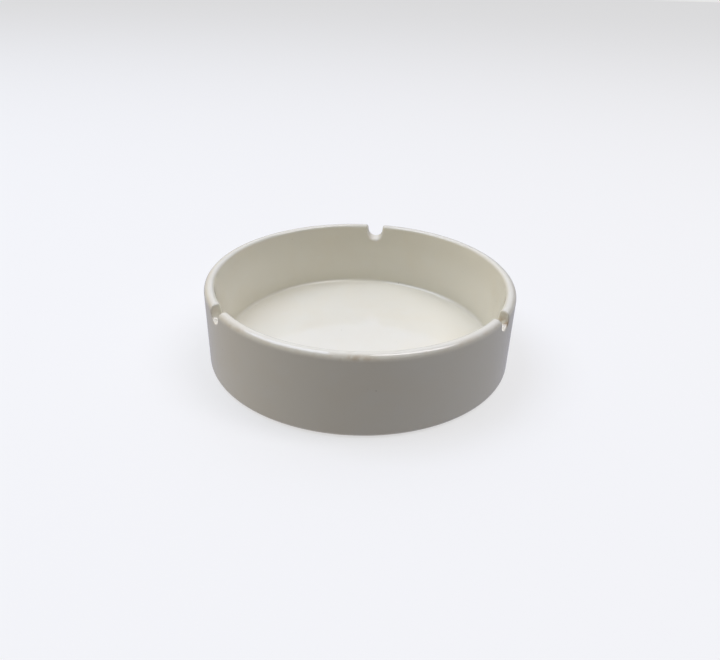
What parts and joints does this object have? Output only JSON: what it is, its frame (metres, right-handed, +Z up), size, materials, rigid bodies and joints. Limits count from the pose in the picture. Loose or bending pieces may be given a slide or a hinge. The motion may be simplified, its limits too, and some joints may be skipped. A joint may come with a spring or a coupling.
{
  "type": "ashtray",
  "caption": "Round glazed ceramic ashtray with a flat floor, an upright wall and cigarette rests cut through its bullnose rim.",
  "frame": {"origin": "centre of the plane that the foot ring stands on", "axes": "+Z up, along the axis that the dish is turned about; +Y towards the first cigarette rest"},
  "size_m": [0.13, 0.1299, 0.035],
  "materials": {
    "white_glaze": "gloss"
  },
  "bodies": {
    "root": {"ashtray_dish": "white_glaze"}
  },
  "joints": []
}
